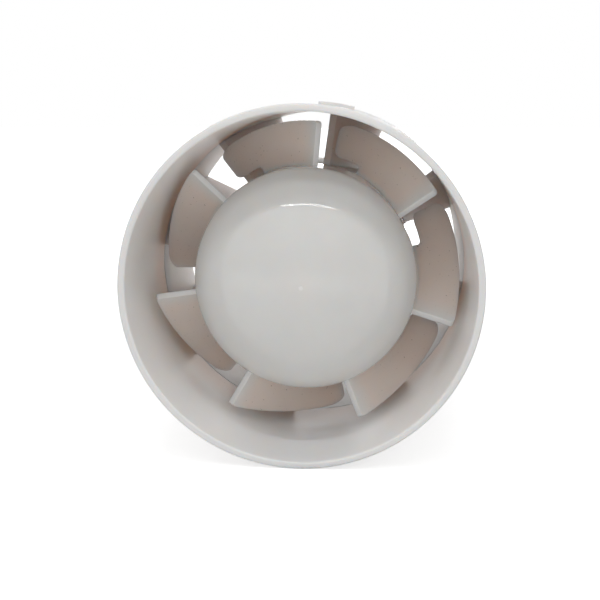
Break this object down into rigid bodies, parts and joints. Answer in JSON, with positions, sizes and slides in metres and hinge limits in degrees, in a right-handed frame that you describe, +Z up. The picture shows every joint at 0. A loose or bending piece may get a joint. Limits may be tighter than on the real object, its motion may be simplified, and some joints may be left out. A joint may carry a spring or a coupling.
{
  "type": "inline duct axial fan",
  "caption": "Inline axial fan for round duct: plain white plastic tube with a domed, bladed impeller, guide vanes and a shaded-pole motor in the cup behind it.",
  "frame": {"origin": "centre of the inlet rim", "axes": "+Y along the fan's axis from inlet to outlet, +Z up as in the picture, +X to the right from the inlet"},
  "size_m": [0.099, 0.1015, 0.1],
  "materials": {
    "casing_plastic": "satin moulded ABS",
    "carrier_plastic": "satin moulded ABS",
    "impeller_plastic": "smooth moulded ABS",
    "rubber": "matt",
    "spring_steel": "bright",
    "shaft_steel": "ground",
    "plated_steel": "zinc plated",
    "lamination_steel": "varnished laminations",
    "cast_aluminium": "as cast",
    "copper": "enamelled copper",
    "bronze": "sintered",
    "washer_nylon": "plain",
    "bobbin_nylon": "plain",
    "felt": "oiled felt",
    "lead_pvc": "plain",
    "fuse_can": "plain"
  },
  "bodies": {
    "casing": {"inlet_tube": "casing_plastic", "outlet_tube": "casing_plastic", "motor_carrier": "carrier_plastic", "motor_cap": "casing_plastic", "cable_grommet": "rubber", "stator_core": "lamination_steel", "shading_rings": "copper", "coil_bobbins": "bobbin_nylon", "stator_windings": "copper", "front_bearing_bracket": "cast_aluminium", "rear_bearing_bracket": "cast_aluminium", "front_bush": "bronze", "rear_bush": "bronze", "front_oil_felt": "felt", "rear_oil_felt": "felt", "front_bush_clip": "spring_steel", "rear_bush_clip": "spring_steel", "motor_bolts": "plated_steel", "motor_mount_screws": "plated_steel", "cap_screws": "plated_steel", "terminal_block": "bobbin_nylon", "terminal_screws": "plated_steel", "motor_leads": "lead_pvc", "thermal_fuse": "fuse_can"},
    "rotor": {"impeller": "impeller_plastic", "impeller_clip": "spring_steel", "motor_shaft": "shaft_steel", "thrust_washers": "washer_nylon", "shaft_circlips": "spring_steel", "rotor_core": "lamination_steel", "rotor_cage": "cast_aluminium"}
  },
  "joints": [
    {"name": "impeller_spin", "type": "hinge", "parent": "casing", "child": "rotor", "pos_m": [0, 0, 0], "axis": [0, 1, 0], "continuous": true}
  ]
}
